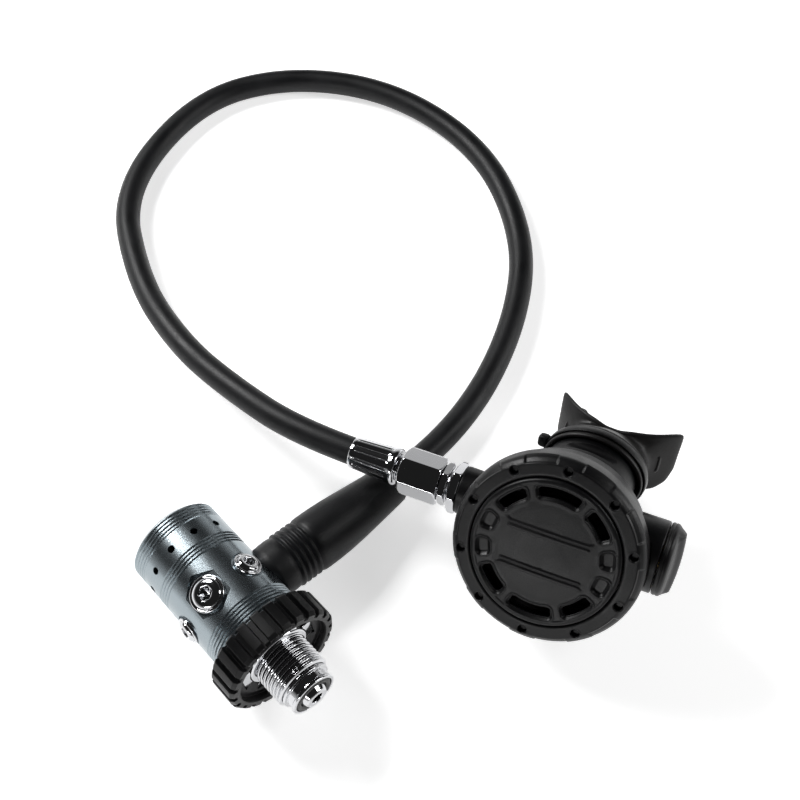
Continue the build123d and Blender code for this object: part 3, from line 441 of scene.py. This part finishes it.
grip = []
for low in (26.9, 29.6, 32.3, 35.0):
    grip += [(low, 11.0), (low + 0.35, 10.9), (low + 0.75, 11.55), (low + 1.2, 11.95), (low + 1.7, 12.0),
             (low + 2.15, 11.7), (low + 2.5, 11.1)]
protector = [(14.0, 11.15), (20.0, 11.3), (22.0, 11.5), (24.5, 11.65), (26.2, 11.5), *grip,
             (37.9, 11.1), (38.6, 11.75), (39.6, 12.1), (42, 12.2), (47, 12.15), (53, 11.9), (60, 11.35),
             (68, 10.55), (76, 9.75), (82, 9.2), (84.6, 8.9), (85.7, 8.4), (86.0, 7.8), (85.7, 7.1),
             (84, 6.6), (78, 6.0), (62, 5.95), (47, 5.95), (46.6, 7.3), (25.2, 7.4), (24.9, 8.5),
             (14.0, 8.5)]
protector_piece = skin("hose_protector_sleeve", [protector_rings(protector)], "hose_rubber", "first_stage",
                       ["hose_protector"])


def fluted(radius, depth, count=14):
    def at(angle):
        part = abs(((angle * count / tau + 0.5) % 1) - 0.5) * 2
        return radius - depth * max(0.0, 1 - part * 4.0) ** 0.7
    return at


ferrule = [(-89.0, 5.86), (-89.0, 6.25), (-88.6, 6.5), (-87.6, 6.55), (-86.8, fluted(6.62, 0.1)),
           (-86.2, fluted(6.66, 0.38)), (-80, fluted(6.95, 0.42)), (-73.2, fluted(7.3, 0.42)),
           (-72.2, fluted(7.38, 0.2)), (-71.6, 7.45), (-70.6, 7.75), (-69.7, 7.8), (-69.0, 7.6),
           (-68.65, 7.1), (-68.6, 3.1), (-76.9, 3.1), (-77.0, 5.86)]
ferrule_piece = skin("crimp_ferrule", [rings(VALVE, ferrule, 280)], "bright_chrome", "first_stage",
                     ["hose_ferrule_second"])

# ------------------------------------------------------------ swivel nut and inlet hexagons
NUT_TURN = radians(14)


def hex_nut(across_flats, low, high, cut, bore):
    """Outline of a nut whose corners are chamfered at both ends."""
    corner = across_flats / 2 / cos(pi / 6)
    chamfer = [(0.12, 0.85), (0.45, 0.4), (0.8, 0.12)]
    rounded = [(rise * cut, hexagon(across_flats, corner - cut * short)) for rise, short in chamfer]
    face = hexagon(across_flats)
    return [(low, bore), (low, corner - cut - 0.2), *[(low + rise, shape) for rise, shape in rounded],
            (low + cut * 1.1, face), (high - cut * 1.1, face),
            *[(high - rise, shape) for rise, shape in reversed(rounded)],
            (high, corner - cut - 0.2), (high, bore)]


skin("swivel_hex_nut", [rings(VALVE, hex_nut(17.0, -66.4, -49.4, 1.1, 7.27)[:-1] + [
    (-49.4, 7.27), (-61.4, 7.27), (-61.5, 6.65), (-65.2, 6.65), (-65.2, 5.56), (-66.4, 5.56)],
                             120, NUT_TURN)],
     "bright_chrome", "second_stage", ["swivel_nut"])
inlet = [(-61.0, 4.7), (-61.0, 7.2), *hex_nut(15.4, -48.9, -46.2, 0.6, 7.2), (-46.1, 6.6), (-44.7, 6.6),
         (-44.6, 5.0), (-38.0, 5.0), (-38.0, 1.9), (-51.8, 1.9), (-51.8, 4.7)]
skin("inlet_hex", [rings(VALVE, inlet, 120, NUT_TURN + radians(3))], "bright_chrome", "second_stage",
     ["inlet_fitting"])
skin("lock_hex", [rings(VALVE, hex_nut(18.2, -44.6, -41.2, 0.7, 5.06), 120, NUT_TURN + radians(-4))],
     "bright_chrome", "second_stage", ["barrel_lock_nut"])


# ------------------------------------------------------------ cylinder coupling with its real thread
PITCH, CREST, THREAD_DEPTH = 1.814, 11.45, 1.1


def thread(height, fade):
    def radius(angle):
        phase = ((height - 11.5) / PITCH - angle / tau) % 1
        flank = min(1.0, max(0.0, abs(phase - 0.5) * 2.9 - 0.25))
        return CREST - THREAD_DEPTH * fade * (flank * flank * (3 - 2 * flank))
    return radius


def lugs(reach, width, hub):
    def radius(angle):
        best = hub
        for turn in (0, pi / 3, 2 * pi / 3):
            along, aside = abs(cos(angle - turn)), abs(sin(angle - turn))
            best = max(best, min(reach / max(along, 1e-6), width / 2 / max(aside, 1e-6)))
        return best
    return radius


coupling = [(0.2, 8.4), (0.2, 13.3), (0.5, 13.6), (2.9, 13.6), (3.0, lugs(16.3, 9.6, 13.6)),
            (3.3, lugs(16.6, 10.0, 13.6)), (8.9, lugs(16.6, 10.0, 13.6)), (9.2, lugs(16.3, 9.6, 13.55)),
            (9.3, 13.5), (9.9, 13.4), (10.3, 12.9), (10.4, 12.2), (10.4, 10.4)]
height = 10.6
while height < 24.0:
    coupling.append((height, thread(height, min(1.0, (24.2 - height) / 0.8))))
    height += 0.151
coupling += [(24.1, 11.0), (24.4, 10.7), (24.5, 10.3), (24.5, 8.4)]
skin("cylinder_coupling", [rings(FIRST, coupling, 240)], "bright_chrome", "first_stage", ["din_coupling"])

nose = eased([(-8.4, 4.6), (-8.4, 8.0), (-0.4, 8.0), (-0.4, 8.34), (24.7, 8.34), (24.9, 10.3), (25.9, 10.3),
              (26.2, 9.1), (28.9, 9.1), (29.2, 9.5), (30.2, 9.5), (30.5, 9.2), (30.5, 8.3), (28.3, 8.3),
              (28.3, 5.6), (29.9, 5.6), (31.9, 4.6), (32.4, 4.1), (32.4, 2.8), (32.0, 2.4), (21.6, 2.4),
              (21.6, 4.6)])
skin("coupling_nose", [rings(FIRST, nose, 128)], "bright_chrome", "first_stage", ["din_retainer"])


# ------------------------------------------------------------ port plugs
def plug(angle, shank, head, seat, socket):
    turn = radians(angle)
    z = FIRST_X * cos(turn) + FIRST_Y * sin(turn)
    place = Place(PORT_AT, FIRST_Z, z.cross(FIRST_Z), z)
    wall = hexagon(socket)
    shape = [(12.4, 0.01), (12.4, shank - 0.5), (12.8, shank - 0.05), (seat - 1.6, shank - 0.05),
             (seat - 1.4, shank - 1.0), (seat - 0.05, shank - 1.0), (seat, head - 0.25),
             (seat + 0.15, head), (seat + 1.25, head), (seat + 1.5, head - 0.08), (seat + 1.66, head - 0.28),
             (seat + 1.7, head - 0.55), (seat + 1.62, head - 0.8), (seat + 1.38, head - 1.02),
             (seat + 1.36, head - 1.15)]
    rise_to, inner = seat + 2.9, socket / 2 + 0.85
    for step in range(1, 9):
        part = step / 8
        shape.append((seat + 1.38 + (rise_to - seat - 1.38) * sin(part * pi / 2),
                      head - 1.15 - (head - 1.15 - inner) * (1 - cos(part * pi / 2))))
    shape += [(rise_to, inner - 0.25), (rise_to - 0.12, hexagon(socket + 0.25)), (rise_to - 0.35, wall),
              (seat - 0.7, wall), (seat - 0.8, 0.01)]
    return rings(place, shape, 96)


skin("high_pressure_plug_pair", [plug(111, 5.5, 7.2, 17.7, 5.0), plug(291, 5.5, 7.2, 17.7, 5.0)],
     "bright_chrome", "first_stage", ["high_pressure_plugs"])
skin("low_pressure_plug_set", [plug(a, 4.7, 5.6, 18.3, 4.0) for a in (51, 171, 231)], "bright_chrome",
     "first_stage", ["low_pressure_plugs"])


# ------------------------------------------------------------ mouthpiece
ARCH_R = 35.0
OUTLINE = [(26.0, 3.0), (26.3, 9.5), (26.2, 12.6), (24.5, 13.1), (17.0, 12.4), (8.0, 11.8), (3.0, 10.8),
           (-3.0, 10.8), (-8.0, 11.8), (-17.0, 12.4), (-24.5, 13.1), (-26.2, 12.6), (-26.3, 9.5),
           (-26.0, 3.0), (-25.8, -4.5), (-24.2, -10.4), (-20.5, -14.0), (-15.0, -14.9), (0.0, -14.4),
           (15.0, -14.9),
           (20.5, -14.0), (24.2, -10.4), (25.8, -4.5)]


def outline(angle):
    """Distance from the mouthpiece's axis to the flange's rim."""
    x, y = cos(angle), sin(angle)
    for i, (x1, y1) in enumerate(OUTLINE):
        x2, y2 = OUTLINE[(i + 1) % len(OUTLINE)]
        under = x * (y2 - y1) - y * (x2 - x1)
        if abs(under) < 1e-9:
            continue
        away = (x1 * (y2 - y1) - y1 * (x2 - x1)) / under
        along = (x1 * y - y1 * x) / under
        if away > 0 and -1e-6 <= along <= 1 + 1e-6:
            return away
    return 20.0


def oval(a, b):
    return lambda angle: a * b / sqrt((b * cos(angle)) ** 2 + (a * sin(angle)) ** 2)


def mouth_rings(profile, count=120):
    made = []
    for s, r, arch in profile:
        ring = []
        for j in range(count):
            angle = tau * j / count
            radius = r(angle)
            x, y = radius * cos(angle), radius * sin(angle)
            ring.append(MOUTH.at(x, y, s + arch * (ARCH_R - sqrt(max(0, ARCH_R ** 2 - x * x)))))
        made.append(ring)
    return made


def rim(inset):
    return lambda angle: outline(angle) - inset


def between(f, g, part):
    return lambda angle: f(angle) * (1 - part) + g(angle) * part


neck = oval(16.0, 10.6)
shell = [(19.5, oval(18.7, 13.7), 0), (19.5, oval(20.2, 15.2), 0), (19.9, oval(20.9, 15.9), 0),
         (21.3, oval(20.9, 15.9), 0), (21.8, oval(20.5, 15.5), 0), (25.8, oval(20.5, 15.5), 0),
         (26.3, oval(21.0, 16.0), 0), (27.6, oval(21.0, 16.0), 0), (28.2, oval(20.5, 15.5), 0),
         (28.8, oval(19.9, 14.9), 0), (32.5, oval(18.1, 12.9), 0), (35.5, oval(17.0, 11.6), 0.25),
         (37.0, between(neck, rim(0), 0.1), 0.6), (37.3, between(neck, rim(0), 0.35), 0.9),
         (37.35, rim(3.0), 1), (37.5, rim(1.0), 1), (37.9, rim(0.15), 1), (38.6, rim(0), 1),
         (39.2, rim(0.3), 1), (39.6, rim(1.4), 1), (39.8, rim(3.4), 1),
         (39.9, between(oval(13.5, 8.6), rim(0), 0.4), 1),
         (40.3, oval(13.2, 8.2), 1), (39.8, oval(12.4, 7.4), 1), (36.0, oval(13.2, 8.0), 0),
         (26.2, oval(15.0, 9.8), 0), (26.1, oval(18.7, 13.7), 0)]


def tab(side):
    made = []
    for s, half, tall in ((42.6, 0.3, 0.5), (42.6, 1.9, 4.2), (44.0, 2.0, 4.5), (47.0, 1.8, 4.6),
                          (49.2, 2.1, 4.7), (49.8, 1.7, 4.6), (51.6, 2.1, 4.8), (52.2, 1.8, 4.7),
                          (53.8, 2.4, 4.9), (54.6, 3.6, 5.2), (55.8, 3.8, 5.3), (56.7, 3.2, 4.7),
                          (57.0, 1.5, 2.8), (57.0, 0.3, 0.5)):
        ring = []
        for j in range(24):
            angle = tau * j / 24
            x = abs(cos(angle)) ** 0.55 * half * (1 if cos(angle) >= 0 else -1)
            y = abs(sin(angle)) ** 0.55 * tall * (1 if sin(angle) >= 0 else -1)
            ring.append(MOUTH.at(side * 19.0 + x, y - 1.0, s))
        made.append(ring)
    return made


skin("silicone_mouthpiece", [mouth_rings(shell), tab(1), tab(-1)], "mouthpiece_rubber", "second_stage",
     ["mouthpiece"], smooth=1)

band = [(22.3, oval(20.55, 15.55), 0), (22.1, oval(21.0, 16.0), 0), (22.2, oval(21.6, 16.6), 0),
        (25.4, oval(21.6, 16.6), 0), (25.5, oval(21.0, 16.0), 0), (25.3, oval(20.55, 15.55), 0)]
head = []
for depth, wide, long in ((20.6, 0.3, 0.3), (20.6, 2.2, 1.8), (21.4, 2.6, 2.1), (23.4, 2.6, 2.1),
                          (24.3, 2.3, 1.9), (24.7, 1.7, 1.4), (24.7, 0.3, 0.3)):
    ring = []
    for j in range(20):
        angle = tau * j / 20
        a = abs(cos(angle)) ** 0.5 * wide * (1 if cos(angle) >= 0 else -1)
        b = abs(sin(angle)) ** 0.5 * long * (1 if sin(angle) >= 0 else -1)
        ring.append(MOUTH.at(depth, 3.2 + a, 23.8 + b))
    head.append(ring)
skin("mouthpiece_strap", [mouth_rings(band), head], "black_plastic", "second_stage", ["mouthpiece_tie"])

# ------------------------------------------------------------ purge cover and cover ring
def step(value, low, high):
    part = min(1.0, max(0.0, (value - low) / (high - low)))
    return part * part * (3 - 2 * part)


def fine(profile, size):
    """Profile with extra points so that no step is longer than size."""
    out = []
    for (s0, r0), (s1, r1) in zip(profile, profile[1:]):
        count = max(1, int(sqrt((s1 - s0) ** 2 + (r1 - r0) ** 2) / size + 0.5))
        out += [(s0 + (s1 - s0) * i / count, r0 + (r1 - r0) * i / count) for i in range(count)]
    return out + [profile[-1]]


def field(place, front, back, lift, count):
    """Turned rings whose front is moved along the axis by lift(radius, angle)."""
    made = []
    for s, r in front:
        ring = []
        for j in range(count):
            angle = tau * j / count
            ring.append(place.at(r * cos(angle), r * sin(angle), s + lift(r, angle)))
        made.append(ring)
    return made + rings(place, back, count)


# middle and half-width of each recess in degrees, and 1 where it doesn't go through
SLOT_CIRCLE_R, SLOT_HALF_WIDTH, SLOT_CORNER = 23.4, 2.75, 1.9
SLOTS = [(90, 21.5, 0), (270, 21.5, 0), (45, 15.5, 0), (135, 15.5, 0), (225, 15.5, 0), (315, 15.5, 0),
         (13, 8.5, 1), (167, 8.5, 1), (193, 8.5, 1), (347, 8.5, 1)]


def slot_edge(r, turn):
    """Distance in mm from the nearest slot's outline, negative inside, and whether that slot is short."""
    best, kind = 9.0, 0
    for middle, half, short in SLOTS:
        side = (abs((turn - middle + 180) % 360 - 180) - half) * tau / 360 * SLOT_CIRCLE_R
        out_by = abs(r - SLOT_CIRCLE_R) - SLOT_HALF_WIDTH
        edge = sqrt(max(0, side + SLOT_CORNER) ** 2 + max(0, out_by + SLOT_CORNER) ** 2) - SLOT_CORNER
        if max(side, out_by) < -SLOT_CORNER:
            edge = max(side, out_by)
        if edge < best:
            best, kind = edge, short
    return best, kind


def cover_lift(r, angle):
    edge, short = slot_edge(r, angle * 360 / tau) if r > 18 else (9.0, 0)
    lift = 0.28 * max(0.0, 1 - abs(edge - 0.3) / 0.45) - 0.9 * step(-edge, -0.1, 0.3)
    if short:
        lift -= 0.5 * step(-edge, 0.6, 0.9)
    x, y = r * cos(angle), r * sin(angle)
    for bar in (8.5, 6.7, -6.7, -8.5):
        away = sqrt(max(0, abs(x) - 15.1) ** 2 + (y - bar) ** 2)
        lift += 0.42 * step(0.62 - away, 0, 0.4)
    return lift


def pierced(front, back_at, lift, is_open, count):
    """Turned plate between a lifted front and a flat back, with the open cells cut right through."""
    points, faces = [], []
    for s, r in front:
        for j in range(count):
            angle = tau * j / count
            points.append(tuple(SECOND.at(r * cos(angle), r * sin(angle), s + lift(r, angle))))
    rows = len(front)
    under = len(points)
    for s, r in front:
        for j in range(count):
            angle = tau * j / count
            points.append(tuple(SECOND.at(r * cos(angle), r * sin(angle), min(s - 0.3, back_at))))
    solid = [[i < rows - 1 and not is_open((front[i][1] + front[i + 1][1]) / 2, (j + 0.5) * 360 / count)
              for j in range(count)] for i in range(rows - 1)]
    for i in range(rows - 1):
        for j in range(count):
            if not solid[i][j]:
                continue
            k = (j + 1) % count
            a, b, c, d = i * count + j, i * count + k, (i + 1) * count + k, (i + 1) * count + j
            faces += [(a, d, c, b), (under + a, under + b, under + c, under + d)]
            if i and not solid[i - 1][j]:
                faces.append((a, b, under + b, under + a))
            if i == rows - 2 or not solid[i + 1][j]:
                faces.append((c, d, under + d, under + c))
            if not solid[i][(j - 1) % count]:
                faces.append((d, a, under + a, under + d))
            if not solid[i][k]:
                faces.append((b, c, under + c, under + b))
    return points, faces


def slot_open(r, turn):
    edge, short = slot_edge(r, turn)
    return edge < -0.85 and not short


face = [(1.9, 0), (1.9, 3), (1.88, 5.5)] + fine([(1.88, 6), (1.72, 11), (1.4, 17.4)], 0.34)
face += [(1.3, 18.6), (1.25, 19.6)] + fine([(1.2, 20.1), (1.1, 26.4)], 0.26)
face += [(1.25, 26.7), (1.3, 27.2), (1.2, 27.8), (0.95, 28.3), (0.5, 28.55), (0.0, 28.6)]
plate_points, plate_faces = pierced(face, -1.2, cover_lift, slot_open, 480)
add_shell(plate_points, plate_faces, rings(SECOND, [(-1.0, 0.01), (-1.0, 4.0), (-6.0, 4.0), (-6.0, 5.1),
                                                    (-6.8, 5.1), (-6.8, 0.01)]))
finish_piece("purge_cover_face", plate_points, plate_faces, "black_plastic", "purge", ["purge_cover"])


DIMPLE_CIRCLE_R, DIMPLE_R, DIMPLE_STEP, FIRST_DIMPLE = 32.6, 1.75, 36, 17


def ring_lift(r, angle):
    """Round dimples in the ring's face and shallow cuts in its rim between them."""
    part = (angle * 360 / tau - FIRST_DIMPLE) % DIMPLE_STEP
    off = min(part, DIMPLE_STEP - part)
    hole = sqrt((off * tau / 360 * DIMPLE_CIRCLE_R) ** 2 + (r - DIMPLE_CIRCLE_R) ** 2)
    dimple = -2.4 * step(DIMPLE_R - hole, 0, 0.35) + 0.12 * max(0.0, 1 - abs(hole - 2.05) / 0.35)
    scallop = -0.75 * step(r, 34.1, 34.5) * step(10.2 - abs(part - DIMPLE_STEP / 2), 0, 0.5)
    return dimple + scallop


ring_front = fine([(-0.4, 28.9), (-0.1, 29.0), (0.15, 29.3), (0.3, 29.9), (0.25, 30.6)], 0.3)[:-1]
ring_front += fine([(0.25, 30.6), (0.0, 33.9), (-0.5, 34.7)], 0.25)[:-1]
ring_front += fine([(-0.5, 34.7), (-1.5, 35.7), (-2.4, 36.3), (-3.2, 36.65)], 0.3)
ring_back = [(-4.2, 36.8), (-10.0, 36.8), (-10.7, 36.5), (-11.0, 36.0), (-11.0, 33.72), (-4.6, 33.72),
             (-4.6, 31.0), (-4.4, 31.0), (-4.4, 28.9)]
skin("purge_ring", [field(SECOND, ring_front, ring_back, ring_lift, 720)], "black_plastic", "second_stage",
     ["cover_ring"])

# ------------------------------------------------------------ adjustment knob
def grip_lift(r, angle):
    across = abs(r * cos(angle))
    return 2.0 * (1 - step(across, 1.2, 6.5)) * (1 - step(r, 11.6, 13.9))


knob_front = fine([(44.6, 0), (44.5, 4), (44.2, 8), (43.8, 11.5), (43.2, 13.2)], 0.5)
knob_front += [(42.75, 13.8), (42.3, 14.1), (41.9, 14.2)]
knob_back = [(41.3, 14.2), (41.2, 14.0), (41.0, 14.0), (40.9, 14.2), (40.3, 14.2), (39.75, 14.0),
             (39.55, 13.6), (39.55, 3.2), (42.0, 3.2), (42.0, 0)]
skin("knob_grip", [field(VALVE, knob_front, knob_back, grip_lift, 160)], "black_plastic", "adjuster",
     ["adjustment_knob"])
